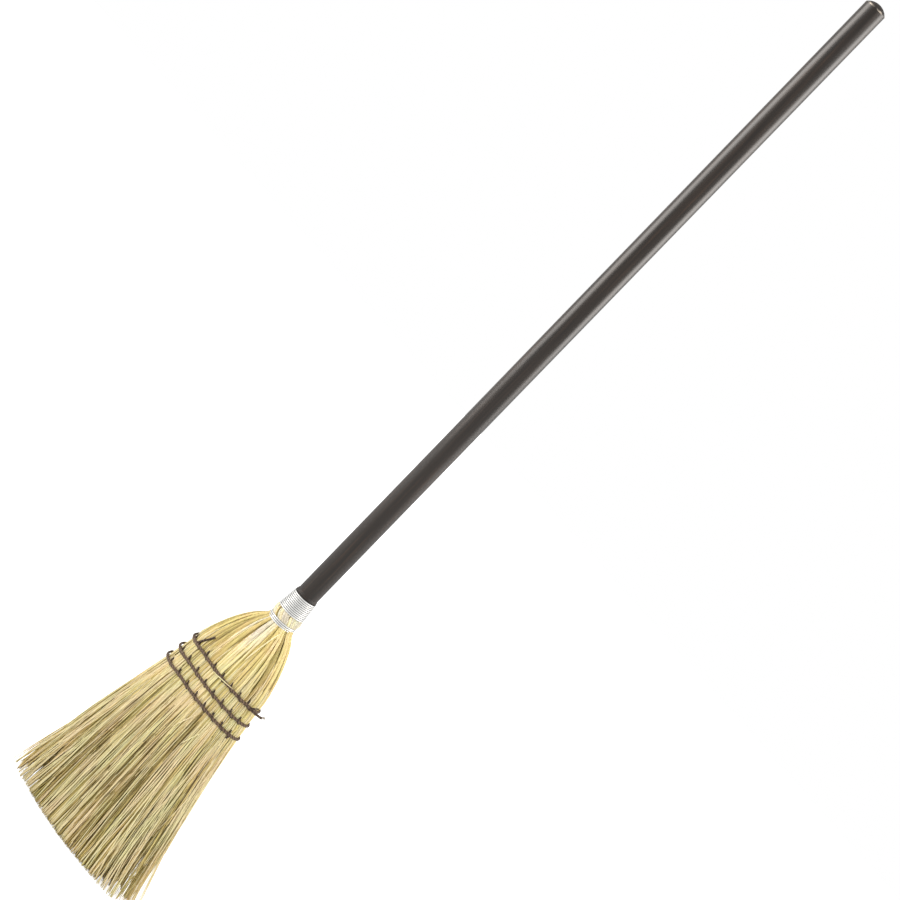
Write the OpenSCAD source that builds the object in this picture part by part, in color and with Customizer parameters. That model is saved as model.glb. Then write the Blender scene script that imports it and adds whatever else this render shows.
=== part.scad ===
// Lobby broom: a short corn broom, wired and sewn, on a turned wooden handle.
// The handle's axis is Z, the head is widest along X, and the bristle tips stand on z = 0.

/* [Handle] */
// Height of the whole broom, from the bristle tips to the top of the handle
overall_h = 990; // [700:5:1300]
// Diameter of the handle
handle_d = 20.6; // [18:0.1:24]
// Width of the bevel round the handle's top
top_bevel = 0.8; // [0.4:0.1:2]
// How far the handle's top bulges out above the bevel
dome_h = 3.9; // [1:0.1:6]
// How far the lip above the winding stands out from the handle
lip_step = 0.9; // [0.4:0.1:1.5]
// Height of the lip above the winding
lip_h = 2.4; // [1.5:0.1:5]
// Diameter of the tapered shank at its hidden tip
shank_tip_d = 10; // [6:0.5:14]
// Height kept clear between the upper row of stitches and the shank's tip
shank_clear = 8; // [4:0.5:14]

/* [Wire] */
// Diameter of the binding wire
wire_d = 1.2; // [0.9:0.05:1.5]
// Clear gap between neighbouring turns
wire_gap = 0.48; // [0.45:0.01:0.8]
// Turns round the neck of the head
neck_turns = 2; // [1:1:4]
// Turns of the tapered winding above the collar
cone_turns = 10; // [8:1:14]
// Angle through which the wire climbs over the collar, at the back
climb_angle = 90; // [70:5:120]
// Depth of the wire's ends in their holes in the handle
wire_bite = 3; // [2:0.5:4]
// Radius of the bend where the wire turns into a hole
wire_bend = 1.6; // [1.4:0.1:2]
// Diameter of the tack's head
tack_head_d = 4.2; // [3:0.1:6]
// Diameter of the tack's shank
tack_d = 1.4; // [1:0.1:2]
// Length of the tack's shank in the handle
tack_bite = 7; // [4:0.5:9]
// Height of the tack's head
tack_head_h = 1; // [0.6:0.1:1.5]

/* [Corn head] */
// Height of the neck, where the corn comes out from under the wire
neck_z = 269; // [250:0.5:300]
// Height of the collar of trimmed butts above the neck wire
collar_h = 10; // [6:0.5:14]
// How far the collar stands out from the neck
collar_step = 1.35; // [0.6:0.05:2]
// Wall of the inside corn at the foot of the tapered winding
cone_wall = 1.5; // [1.2:0.1:2.5]
// How far the inside corn stands out from the handle's radius at the neck
core_neck_step = 0.7; // [0.5:0.1:1.5]
// Thickness of the covers at the neck
cover_neck_wall = 1.4; // [1.2:0.1:2.5]
// Width of the head at the upper row of stitches
sewn_w = 91; // [85:1:100]
// Thickness of the head at the upper row of stitches
sewn_t = 42; // [38:1:50]
// Width of the head at the tips
tip_w = 184; // [150:1:200]
// Thickness of the head at the tips
tip_t = 52; // [50:1:64]
// Width of the inside corn at the upper row of stitches
core_sewn_w = 54; // [44:1:60]
// Thickness of the inside corn at the upper row of stitches
core_sewn_t = 23; // [21:1:26]
// Width of the inside corn at the tips
core_tip_w = 104; // [80:1:120]
// Thickness of the inside corn at the tips
core_tip_t = 28; // [24:1:32]
// How far the head bows to the left between neck and tips
head_bow = 5.4; // [0:0.2:8]
// Depth of the furrows between the stalks
furrow = 0.6; // [0.2:0.1:1]
// Angle between the middle of a shoulder and its edge
shoulder_angle = 34; // [28:1:40]
// Height of the bound slice's lower face, where the loose strands start
slice_z = 151; // [130:1:156]
// Diameter of a strand's cut tip
strand_tip_d = 2.2; // [1.2:0.1:3]

/* [Sewing] */
// Height of the lower row of stitches
lower_row_z = 174; // [165:0.5:182]
// Distance from one row to the next
row_pitch = 14.5; // [12:0.5:17]
// Diameter of the twine
twine_d = 2; // [1.6:0.1:2.4]
// Depth to which the twine draws in the corn
groove = 2.2; // [1.6:0.1:3]
// Distance from the edge of the head to the nearest stitch, in the upper row
edge_margin = 2.75; // [2:0.25:4]
// Height of a stitch's ends above and below its row
stitch_rise = 3.3; // [3:0.1:4]
// Length of the loose tail of the upper row's twine
tail_len = 13; // [8:1:20]
// Length of the tucked tails of the other two rows' twine
tuck_len = 6; // [5:0.5:8]

/* [Fits] */
// Clearance between the wood, the wire and the corn
fit_gap = 0.25; // [0.15:0.05:0.4]
// Clearance between neighbouring bundles of corn
layer_gap = 0.25; // [0.15:0.05:0.4]
// Clearance round the twine where it passes through the corn
stitch_gap = 0.3; // [0.2:0.05:0.5]

/* [Hidden] */
$fn = 48;

// Shape of the head: exponents of the shoulder's curve and of the flare
shoulder_p = 1.5;
shoulder_q = 1.3;
flare_p = 1.12;

// Counts: stitches in a row, columns and rings of strands in a bundle, sides and rings of a tube
stitches = 8;
cover_columns = 16;
shoulder_columns = 8;
core_columns = 24;
strand_rings = 5;
core_rings = 4;
shoulder_rings = 8;
tube_sides = 6;
loop_rings = 20;
climb_rings = 8;
band_rings = 30;
hole_sides = 8;

// Self-gap of a tube: step along its path, and steps between two points that are compared
gap_step = 0.8;
gap_lag = 12;

// Radii at the neck, each from the one inside it
handle_r = handle_d / 2;
wire_r = wire_d / 2;
twine_r = twine_d / 2;
wire_pitch = wire_d + wire_gap;
bore_r = handle_r + fit_gap;
cone_r = bore_r + cone_wall;
core_neck_r = handle_r + core_neck_step;
neck_r = core_neck_r + layer_gap + cover_neck_wall;
collar_r = neck_r + collar_step;

// Heights of the neck, from the neck wire up to the lip; the inside corn ends where its wall is thin
feather_wall = 0.4;
neck_top_z = neck_z + neck_turns * wire_pitch + wire_d + fit_gap * 2;
collar_top_z = neck_top_z + collar_h;
cone_z = collar_top_z + fit_gap + wire_r;
cone_rise = (cone_turns - climb_angle / 360) * wire_pitch;
cone_top_z = cone_z + cone_rise;
lip_z = cone_top_z + wire_r + fit_gap;
feather_share = (cone_wall - feather_wall) / (cone_wall + fit_gap);
feather_z = cone_z + cone_rise * feather_share;

// Rows of stitches, the lowest first, with whole stitches between the edges of the head
row_z = [lower_row_z, lower_row_z + row_pitch, lower_row_z + 2 * row_pitch];
sew_z = row_z[2];
stitch_pitch = (sewn_w - 2 * edge_margin) / (stitches - 0.5);
shank_tip_z = sew_z + stitch_rise + shank_clear;
groove_flat = twine_r + stitch_gap;
groove_half = stitch_rise;

// A unit vector, and a value held between 0 and 1
function unit(v) = v / norm(v);
function part_of_one(t) = min(1, max(0, t));

// Tubes: a path's heading, side vectors carried along it without twist, and the tube round it
function heading(path, i) = unit(path[min(i + 1, len(path) - 1)] - path[max(i - 1, 0)]);
function square_part(s, t) = unit(s - (s * t) * t);
function first_side(t) = unit(cross(t, abs(t.z) < 0.8 ? [0, 0, 1] : [1, 0, 0]));
function side_vectors(path) = [
    for (i = 0, s = first_side(heading(path, 0)); i < len(path);
         i = i + 1, s = i < len(path) ? square_part(s, heading(path, i)) : s) s
];
module tube(path, r) {
    sides = side_vectors(path);
    last = len(path) - 1;
    rings = [
        for (i = [0 : last], k = [0 : tube_sides - 1])
            let (angle = k * 360 / tube_sides)
            path[i] + r * (cos(angle) * sides[i] + sin(angle) * cross(heading(path, i), sides[i]))
    ];
    walls = [
        for (i = [0 : last - 1], k = [0 : tube_sides - 1])
            let (a = i * tube_sides + k)
            let (b = i * tube_sides + (k + 1) % tube_sides)
            each [[a, a + tube_sides, b + tube_sides], [a, b + tube_sides, b]]
    ];
    first_cap = [for (k = [1 : tube_sides - 2]) [0, k, k + 1]];
    last_cap = [for (k = [1 : tube_sides - 2]) [0, k + 1, k] + [1, 1, 1] * last * tube_sides];
    polyhedron(rings, concat(walls, first_cap, last_cap));
}

// The least gap of a tube to itself, measured between points of its path that lie apart along it
function fine_path(path) = [
    for (i = [0 : len(path) - 2])
        let (n = ceil(norm(path[i + 1] - path[i]) / gap_step))
        for (k = [0 : n - 1]) path[i] + (path[i + 1] - path[i]) * k / n
];
function least_gap(path, d) =
    let (points = fine_path(path))
    min([
        for (i = [0 : len(points) - 1 - gap_lag])
            min([for (j = [i + gap_lag : len(points) - 1]) norm(points[i] - points[j])])
    ]) - d;

// The head's outline: half of a width or thickness at a height, the bow, and the drawn-in grooves
function shoulder_share(z) = pow(1 - pow((z - sew_z) / (neck_z - sew_z), shoulder_p), 1 / shoulder_q);
function half_size(z, neck, sewn, tip) =
    z >= neck_z ? neck :
    z >= sew_z ? neck + (sewn - neck) * shoulder_share(z) :
    sewn + (tip - sewn) * pow((sew_z - z) / sew_z, flare_p);
function bow(z) = z >= neck_z ? 0 : -4 * head_bow * (z / neck_z) * (1 - z / neck_z);
function draw_in(z) = groove * max([
    for (row = row_z) part_of_one((groove_half - abs(z - row)) / (groove_half - groove_flat))
]);

// Radius of the collar, and of the inside corn above the neck
function collar_radius(z) = z <= neck_top_z ? neck_r : collar_r;
function core_radius(z) =
    z <= neck_top_z ? core_neck_r :
    z <= cone_z ? core_neck_r + (cone_r - core_neck_r) * (z - neck_top_z) / (cone_z - neck_top_z) :
    cone_r + (handle_r - cone_r) * (z - cone_z) / cone_rise;

// Half sizes of the whole head and of its inside corn, as [across, through]
function head_half(z) = z > neck_z ? [1, 1] * collar_radius(z) :
    [half_size(z, neck_r, sewn_w / 2, tip_w / 2), half_size(z, neck_r, sewn_t / 2, tip_t / 2)]
    - [1, 1] * draw_in(z);
function core_half(z) = z > neck_z ? [1, 1] * core_radius(z) :
    [half_size(z, core_neck_r, core_sewn_w / 2, core_tip_w / 2),
     half_size(z, core_neck_r, core_sewn_t / 2, core_tip_t / 2)];
function on_section(half, angle, z) = [bow(z) + half.x * cos(angle), half.y * sin(angle), z];

// Distance of the head's surface from its middle plane, at a distance across
function depth_at(half, x) = half.y * sqrt(max(0, 1 - pow(x / half.x, 2)));

// Heights of a bundle's rings: the slice, the three grooves, the shoulder and the neck
groove_levels = [
    for (row = row_z) each [row - groove_half, row - groove_flat, row + groove_flat, row + groove_half]
];
shoulder_levels = [
    for (i = [1 : shoulder_rings])
        let (from = sew_z + groove_half)
        from + (neck_z - from) * sin(90 * i / shoulder_rings)
];
low_levels = concat([slice_z], groove_levels, shoulder_levels);
cover_levels = concat(low_levels, [neck_top_z, neck_top_z + collar_step, collar_top_z]);
core_levels = concat(low_levels, [neck_top_z, cone_z, feather_z]);

// The three corners of a strand's cut tip, about the middle of its place on the floor
function strand_tip(corners) =
    let (middle = (corners[0] + corners[1] + corners[2]) / 3)
    [for (corner = corners) middle + unit(corner - middle) * strand_tip_d / 2];

// The seven faces of a strand from its base corners to its tip corners
function strand_faces(base, tip) = [
    for (i = [0 : 2])
        let (n = (i + 1) % 3)
        each [[tip[i], base[i], base[n]], [tip[i], base[n], tip[n]]],
    tip
];

// One bundle of the outer layer between two angles: a lofted body that ends in loose strands
module outer_bundle(from_angle, to_angle, columns) {
    row_len = columns + 1;
    ring_len = 2 * row_len;
    top = len(cover_levels) - 1;
    inner_half = function (z) core_half(z) + [1, 1] * layer_gap;
    edge_angle = function (z, angle)
        layer_gap * 90 / (PI * norm([inner_half(z).x * sin(angle), inner_half(z).y * cos(angle)]));
    angle_at = function (z, j)
        let (first = from_angle + edge_angle(z, from_angle))
        let (last = to_angle - edge_angle(z, to_angle))
        first + (last - first) * j / columns;
    outer_at = function (z, j) on_section(head_half(z) - [1, 1] * furrow * (j % 2), angle_at(z, j), z);
    inner_at = function (z, j) on_section(inner_half(z), angle_at(z, j), z);
    across = function (z, i, j) inner_at(z, j) + (outer_at(z, j) - inner_at(z, j)) * i / strand_rings;

    rings = [
        for (z = cover_levels) each concat(
            [for (j = [0 : columns]) outer_at(z, j)],
            [for (j = [columns : -1 : 0]) inner_at(z, j)])
    ];
    slice = [for (i = [1 : strand_rings - 1], j = [0 : columns]) across(slice_z, i, j)];
    tips = [
        for (i = [0 : strand_rings - 1], j = [0 : columns - 1])
            each strand_tip([across(0, i, j), across(0, i + 1, j), across(0, i, j + 1)])
    ];

    outer_id = function (k, j) k * ring_len + j;
    inner_id = function (k, j) k * ring_len + ring_len - 1 - j;
    slice_id = function (i, j)
        i == 0 ? inner_id(0, j) :
        i == strand_rings ? outer_id(0, j) :
        len(rings) + (i - 1) * row_len + j;
    tip_id = function (i, j) len(rings) + len(slice) + 3 * (i * columns + j);

    walls = [
        for (k = [0 : top - 1], i = [0 : ring_len - 1])
            let (n = (i + 1) % ring_len)
            let (a = k * ring_len + i)
            let (b = k * ring_len + n)
            if (k > 0 || (i != columns && i != ring_len - 1))
                each i < ring_len - 1 ?
                    [[a, a + ring_len, b + ring_len], [a, b + ring_len, b]] :
                    [[a, a + ring_len, b], [a + ring_len, b + ring_len, b]]
    ];
    last_edge = [
        [outer_id(0, columns), outer_id(1, columns), inner_id(1, columns)],
        for (i = [1 : strand_rings]) [slice_id(i, columns), inner_id(1, columns), slice_id(i - 1, columns)]
    ];
    first_edge = [
        [inner_id(1, 0), outer_id(1, 0), outer_id(0, 0)],
        for (i = [1 : strand_rings]) [slice_id(i - 1, 0), inner_id(1, 0), slice_id(i, 0)]
    ];
    butts = [
        for (j = [0 : columns - 1]) each [
            [outer_id(top, j), inner_id(top, j + 1), outer_id(top, j + 1)],
            [outer_id(top, j), inner_id(top, j), inner_id(top, j + 1)]]
    ];
    webs = [
        for (i = [0 : strand_rings - 1], j = [0 : columns - 1])
            [slice_id(i + 1, j), slice_id(i + 1, j + 1), slice_id(i, j + 1)]
    ];
    strands = [
        for (i = [0 : strand_rings - 1], j = [0 : columns - 1])
            each strand_faces([slice_id(i, j), slice_id(i + 1, j), slice_id(i, j + 1)],
                              tip_id(i, j) * [1, 1, 1] + [0, 1, 2])
    ];
    polyhedron(concat(rings, slice, tips), concat(walls, last_edge, first_edge, butts, webs, strands));
}

// The inside bundle: a lofted body round the shank that ends in loose strands
module inner_bundle() {
    top = len(core_levels) - 1;
    ring_len = core_columns;
    at = function (z, i, j)
        let (middle = [bow(z), 0, z])
        middle + (on_section(core_half(z), j * 360 / ring_len, z) - middle) * i / core_rings;

    rings = [for (z = core_levels, j = [0 : ring_len - 1]) at(z, core_rings, j)];
    slice = [for (i = [1 : core_rings - 1], j = [0 : ring_len - 1]) at(slice_z, i, j)];
    middles = [[bow(slice_z), 0, slice_z], [0, 0, core_levels[top]]];
    tips = [
        for (i = [1 : core_rings - 1], j = [0 : ring_len - 1])
            each strand_tip([at(0, i, j), at(0, i + 1, j), at(0, i, j + 1)])
    ];

    slice_id = function (i, j)
        i == core_rings ? j % ring_len : len(rings) + (i - 1) * ring_len + j % ring_len;
    middle_id = len(rings) + len(slice);
    tip_id = function (i, j) middle_id + 2 + 3 * ((i - 1) * ring_len + j);

    walls = [
        for (k = [0 : top - 1], j = [0 : ring_len - 1])
            let (a = k * ring_len + j)
            let (b = k * ring_len + (j + 1) % ring_len)
            each [[a, a + ring_len, b + ring_len], [a, b + ring_len, b]]
    ];
    cap = [
        for (j = [0 : ring_len - 1])
            [top * ring_len + j, middle_id + 1, top * ring_len + (j + 1) % ring_len]
    ];
    heart = [for (j = [0 : ring_len - 1]) [middle_id, slice_id(1, j), slice_id(1, j + 1)]];
    webs = [
        for (i = [1 : core_rings - 1], j = [0 : ring_len - 1])
            [slice_id(i + 1, j), slice_id(i + 1, j + 1), slice_id(i, j + 1)]
    ];
    strands = [
        for (i = [1 : core_rings - 1], j = [0 : ring_len - 1])
            each strand_faces([slice_id(i, j), slice_id(i + 1, j), slice_id(i, j + 1)],
                              tip_id(i, j) * [1, 1, 1] + [0, 1, 2])
    ];
    polyhedron(concat(rings, slice, middles, tips), concat(walls, cap, heart, webs, strands));
}

// The wire: into the shank, round the neck, over the collar at the back, up the cone, into the handle
wire_start = 90 - climb_angle / 2;
corner_turns = [0, 30, 60];
function around(r, angle, z) = [r * cos(angle), r * sin(angle), z];
function wire_corner(r, angle, z, way) = [
    for (turn = corner_turns)
        let (along = way * wire_bend * (1 - cos(turn)))
        around(r - wire_bend + wire_bend * sin(turn), angle, z) + along * [-sin(angle), cos(angle), 0]
];
neck_wire_r = neck_r + fit_gap + wire_r;
climb_wire_r = collar_r + fit_gap + wire_r;
cone_wire_r = cone_r + fit_gap + wire_r;
top_wire_r = handle_r + fit_gap + wire_r;
neck_wire_z = neck_z + fit_gap + wire_r;
bend_angle = wire_bend * 180 / (PI * neck_wire_r);
neck_angle = neck_turns * 360;
cone_angle = cone_turns * 360 - climb_angle;
climb_share = 0.75;
lift_share = 0.2;
function neck_wire(a) = around(neck_wire_r, wire_start + a, neck_wire_z + a / 360 * wire_pitch);
function climb_wire(t) =
    let (from_z = neck_wire_z + neck_turns * wire_pitch)
    let (done = part_of_one(t / climb_share))
    let (steep = done * done * (3 - 2 * done))
    let (ends_r = neck_wire_r + (cone_wire_r - neck_wire_r) * t)
    let (over = part_of_one(min(t, 1 - t) / lift_share))
    around(ends_r + (climb_wire_r - ends_r) * over, wire_start + t * climb_angle,
           from_z + (cone_z - from_z) * steep);
function cone_wire(a) =
    let (t = a / cone_angle)
    around(cone_wire_r + (top_wire_r - cone_wire_r) * t, wire_start + climb_angle + a, cone_z + cone_rise * t);
function wire_path() =
    let (step = 360 / loop_rings)
    let (hole_r = shank_radius(neck_wire_z) - wire_bite)
    let (way_in = wire_corner(neck_wire_r, wire_start, neck_wire_z, 1))
    let (way_out = wire_corner(top_wire_r, wire_start, cone_top_z, -1))
    concat(
        [around(hole_r, wire_start, neck_wire_z)],
        way_in,
        [for (a = [step : step : neck_angle - 1]) neck_wire(a)],
        [for (i = [0 : climb_rings]) climb_wire(i / climb_rings)],
        [for (a = [step : step : cone_angle - step]) cone_wire(a)],
        [for (i = [len(way_out) - 1 : -1 : 0]) way_out[i]],
        [around(handle_r - wire_bite, wire_start, cone_top_z)]);

// Radius of the handle inside the corn
function shank_radius(z) =
    let (share = part_of_one((z - shank_tip_z) / (collar_top_z - shank_tip_z)))
    shank_tip_d / 2 + (handle_r - shank_tip_d / 2) * share;

// The two holes that hold the ends of the wire, through whatever lies round them
module wire_holes(clearance) {
    for (end = [[neck_wire_z, shank_radius(neck_wire_z) - wire_bite], [cone_top_z, handle_r - wire_bite]])
        rotate([0, 0, wire_start])
            translate([end[1] - fit_gap, 0, end[0]])
                rotate([0, 90, 0])
                    cylinder(r = wire_r + clearance, h = neck_wire_r);
}

// The shank and the lower handle, larger all round by a clearance
module shank_bore() {
    rotate_extrude()
        polygon([[0, shank_tip_z - fit_gap], [shank_tip_d / 2 + fit_gap, shank_tip_z - fit_gap],
                 [bore_r, collar_top_z], [bore_r, lip_z], [0, lip_z]]);
}

// The tack stands just above the last turn of the wire, with its head over that turn
tack_turn = 40;
tack_angle = wire_start + tack_turn;
tack_z = cone_top_z + wire_r + fit_gap + tack_d / 2;
tack_seat_r = top_wire_r + wire_r + fit_gap / 2;
module tack_hole() {
    rotate([0, 0, tack_angle])
        translate([handle_r - tack_bite - fit_gap, 0, tack_z])
            rotate([0, 90, 0])
                cylinder(r = tack_d / 2 + fit_gap / 2, h = tack_bite + lip_step + 2 * fit_gap);
}

// The sewing: where the twine passes through the corn, upper holes first and lower holes half a stitch on
function upper_x(i) = (i - (stitches - 0.5) / 2) * stitch_pitch;
function lower_x(i) = upper_x(i) + stitch_pitch / 2;
module stitch_holes(from_x, to_x) {
    for (row = row_z, i = [0 : stitches - 1], end = [[upper_x(i), stitch_rise], [lower_x(i), -stitch_rise]])
        if (end[0] > from_x && end[0] < to_x)
            translate([bow(row) + end[0], 0, row + end[1]])
                rotate([90, 0, 0])
                    cylinder(r = (twine_r + stitch_gap) / cos(180 / hole_sides), h = tip_t, center = true,
                             $fn = hole_sides);
}

// The path of one row's twine: a tail, the band round the head, the stitches over it, and a cut end.
// The steps place the tail and the start of the band from the first stitch, the lifts hold them off the corn.
tail_step = 3.2;
band_step = 5.5;
band_end_angle = 189;
tail_lift = 0.4;
turn_lift = 1.2;
stitch_lift = 0.7;
cut_end = [[2.6, 1.2, 0.3], [9, 0.8, 1.8]];
function row_path(row, tail) =
    let (middle = bow(row))
    let (band = head_half(row) + [1, 1] * (fit_gap + twine_r))
    let (crest = head_half(row + groove_half) + [1, 1] * (fit_gap + twine_r))
    let (arch = band + [1, 1] * (twine_d + stitch_gap + stitch_lift))
    let (spot = function (x, y, rise) [middle + x, y, row + rise])
    let (dip = function (x, side, rise) spot(x, side * (depth_at(crest, x) - twine_r / 2), rise))
    let (hop = function (x, side) spot(x, side * depth_at(arch, x), 0))
    let (tail_x = upper_x(0) + tail_step)
    let (loose = [
        for (share = [1, 2 / 3, 1 / 3])
            spot(tail_x, -depth_at(crest, tail_x) - tail_lift, tail * share)])
    let (from_angle = -acos((upper_x(0) + band_step) / band.x))
    let (girth = [
        for (i = [0 : band_rings])
            let (angle = from_angle + (band_end_angle - from_angle) * i / band_rings)
            spot(band.x * cos(angle), band.y * sin(angle), 0)])
    let (seam = [
        for (i = [0 : stitches - 1])
            let (u = upper_x(i))
            let (l = lower_x(i))
            each concat(
                [dip(u, -1, stitch_rise), dip(u, 1, stitch_rise)],
                [hop((u + l) / 2, 1), dip(l, 1, -stitch_rise), dip(l, -1, -stitch_rise)],
                i < stitches - 1 ? [hop((l + upper_x(i + 1)) / 2, -1)] : [])])
    let (last_x = lower_x(stitches - 1))
    let (cut = [for (p = cut_end) spot(last_x + p.x, -depth_at(crest, last_x) - p.y, p.z - stitch_rise)])
    let (turn_x = upper_x(0) - twine_d)
    let (turn = spot(turn_x, -depth_at(crest, turn_x) - turn_lift, stitch_rise / 2))
    concat(loose, girth, [turn], seam, cut);

module sewn_row(row, tail) {
    path = row_path(row, tail);
    echo(twine_row = row, least_gap = least_gap(path, twine_d));
    color([0.3, 0.22, 0.16])
        tube(path, twine_r);
}

module handle() {
    dome_z = overall_h - dome_h;
    dome_r = handle_r - top_bevel;
    ball_r = (dome_r * dome_r + dome_h * dome_h) / (2 * dome_h);
    color([0.19, 0.16, 0.14])
        difference() {
            rotate_extrude() {
                polygon([[0, shank_tip_z], [shank_tip_d / 2, shank_tip_z], [handle_r, collar_top_z],
                         [handle_r, lip_z], [handle_r + lip_step, lip_z], [handle_r, lip_z + lip_h],
                         [handle_r, dome_z - top_bevel], [dome_r, dome_z], [0, dome_z]]);
                intersection() {
                    translate([0, overall_h - ball_r])
                        circle(r = ball_r);
                    translate([0, dome_z])
                        square([handle_r, dome_h]);
                }
            }
            wire_holes(fit_gap);
            tack_hole();
        }
}

module binding_wire() {
    path = wire_path();
    echo(wire_least_gap = least_gap(path, wire_d));
    color([0.78, 0.79, 0.8])
        tube(path, wire_r);
}

module wire_tack() {
    color([0.6, 0.6, 0.6])
        rotate([0, 0, tack_angle])
            translate([0, 0, tack_z])
                rotate([0, 90, 0])
                    rotate_extrude()
                        polygon([[0, handle_r - tack_bite], [tack_d / 2, handle_r - tack_bite + tack_d],
                                 [tack_d / 2, tack_seat_r], [tack_head_d / 2, tack_seat_r],
                                 [tack_head_d / 4, tack_seat_r + tack_head_h], [0, tack_seat_r + tack_head_h]]);
}

module core_corn() {
    color([0.82, 0.72, 0.45])
        difference() {
            inner_bundle();
            shank_bore();
            wire_holes(fit_gap);
            stitch_holes(-core_sewn_w, core_sewn_w);
        }
}

module sewn_bundle(from_angle, to_angle, columns, from_x, to_x) {
    color([0.87, 0.78, 0.53])
        difference() {
            outer_bundle(from_angle, to_angle, columns);
            wire_holes(fit_gap);
            stitch_holes(from_x, to_x);
        }
}

module left_shoulder_corn()
    sewn_bundle(180 - shoulder_angle, 180 + shoulder_angle, shoulder_columns, -sewn_w, 0);

module right_shoulder_corn()
    sewn_bundle(-shoulder_angle, shoulder_angle, shoulder_columns, 0, sewn_w);

module front_cover_corn()
    sewn_bundle(180 + shoulder_angle, 360 - shoulder_angle, cover_columns, -sewn_w, sewn_w);

module back_cover_corn()
    sewn_bundle(shoulder_angle, 180 - shoulder_angle, cover_columns, -sewn_w, sewn_w);

module upper_twine() sewn_row(row_z[2], tail_len);

module middle_twine() sewn_row(row_z[1], tuck_len);

module lower_twine() sewn_row(row_z[0], tuck_len);

handle();
binding_wire();
wire_tack();
core_corn();
left_shoulder_corn();
right_shoulder_corn();
front_cover_corn();
back_cover_corn();
upper_twine();
middle_twine();
lower_twine();
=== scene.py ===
"""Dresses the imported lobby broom: stalk by stalk corn, wound wire, sewn twine and a lacquered handle.

Shapes are worked out in millimetres in the frame of the CAD part, and turned to metres as a mesh is made.
"""

import math

import bpy
import numpy as np
from mathutils import Matrix


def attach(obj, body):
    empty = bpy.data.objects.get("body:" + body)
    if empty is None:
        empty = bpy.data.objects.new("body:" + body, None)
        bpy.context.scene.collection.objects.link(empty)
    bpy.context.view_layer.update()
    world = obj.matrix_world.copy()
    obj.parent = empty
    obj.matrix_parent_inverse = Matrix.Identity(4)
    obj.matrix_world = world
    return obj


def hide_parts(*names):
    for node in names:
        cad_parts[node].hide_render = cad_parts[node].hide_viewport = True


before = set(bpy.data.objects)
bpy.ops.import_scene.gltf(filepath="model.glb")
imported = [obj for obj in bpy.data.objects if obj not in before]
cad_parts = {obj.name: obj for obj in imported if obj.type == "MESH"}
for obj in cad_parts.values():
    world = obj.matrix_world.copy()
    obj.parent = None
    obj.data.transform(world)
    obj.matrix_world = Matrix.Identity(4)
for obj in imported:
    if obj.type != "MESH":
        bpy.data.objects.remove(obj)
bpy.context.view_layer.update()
rng = np.random.default_rng(17)

METRE = 0.001

# Sizes of the CAD part
NECK_Z = 269.0
NECK_R = 12.65
NECK_TOP_Z = 274.06
COLLAR_R = 14.0
LIP_Z = 302.14
HANDLE_R = 10.3
BEVEL_Z = 985.3
DOME_Z = 986.1
SEWN_W = 91.0
SEWN_T = 42.0
TIP_W = 184.0
TIP_T = 52.0
SEW_Z = 203.0
SHOULDER_P = 1.5
FLARE_P = 1.12
STITCHES = 8
SHOULDER_ANGLE = math.radians(34)

# Sizes that the dressing has a little otherwise, to follow the photograph
HEAD_BOW = 4.9
ROW_Z = (204.2, 188.8, 175.0)
SHOULDER_Q = 1.38
WIRE_D = 1.65
BUTT_TOP_Z = 282.3
TWINE_R = 1.5

# Sizes of the dressing alone: the head
TIP_LEAN = 0.8
STALK_SINK = 0.6
FLOOR_CLEAR = 0.4
WAVE_PER_RADIAN = 23.0
CLUMPS = 120

# Sizes of the dressing alone: the rows of sewing and how they draw in and part the corn
ROW_TILT = math.tan(math.radians(1.8))
ROW_DIP = 2.0
GROOVE = 0.6
GROOVE_HALF = 2.4
PART = 0.5
PART_W = 1.0
PART_H = 4.0
PART_ABOVE = 0.8
UPPER_RISE = 4.8
LOWER_RISE = 2.4
TWINE_LAY = 6.0
TWINE_STEP = 0.5
TWINE_ROUNDING = 2.5
HOOK_RISE = 0.5
HOOK_THIN = 0.24
HOOK_ANGLE = 1.07 * math.pi
HOOK_FRONT = 0.05 * math.pi
HOOK_BEHIND = 0.15 * math.pi
BAND_START = -0.76 * math.pi
BAND_END = 1.25 * math.pi
BAND_RINGS = 240

# A direction that no twine runs along, from which the sides of its tube are counted
TWINE_TOWARDS = np.array([0.25, 0.55, 0.8])

# The tint of the brightest straws, past which the butts' paler cream begins, and the straw it turns to
BRIGHTEST = 0.86
FADED = 0.74

# Painted shade: loss of tint at the head's edges, and for each unit of depth that a stalk is sunk
SIDE_PAINTED_SHADE = 0.46
SUNK_PAINTED_SHADE = 4.0

# Places across the head where the twine goes through it, above and below each row: they gather to the right
STITCH_REACH = 43.0
STITCH_GATHER = 6.5
STITCH_SLANT = 4.4
ROW_SHIFT = (-4.7, 0.0, 2.5)
FIRST_HOLE = -41.5
LAST_HOLE = (40.0, 43.0, 45.5)
LAST_SLANT = 2.0
EVEN_X = np.linspace(-STITCH_REACH, STITCH_REACH, STITCHES)
GATHERED_X = EVEN_X + STITCH_GATHER * (1 - (EVEN_X / STITCH_REACH) ** 2)
UPPER_X = [np.clip(GATHERED_X + shift, FIRST_HOLE, last) for shift, last in zip(ROW_SHIFT, LAST_HOLE)]
LOWER_X = [
    np.clip(holes + STITCH_SLANT, FIRST_HOLE, last + LAST_SLANT)
    for holes, last in zip(UPPER_X, LAST_HOLE)
]


# Meshes

def unit(v):
    """Vectors divided by their lengths."""
    return v / np.maximum(np.linalg.norm(v, axis=-1, keepdims=True), 1e-9)


def ease(value, start, end):
    """0 before start, 1 past end, and a smooth step between them."""
    t = np.clip((value - start) / (end - start), 0, 1)
    return t * t * (3 - 2 * t)


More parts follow.
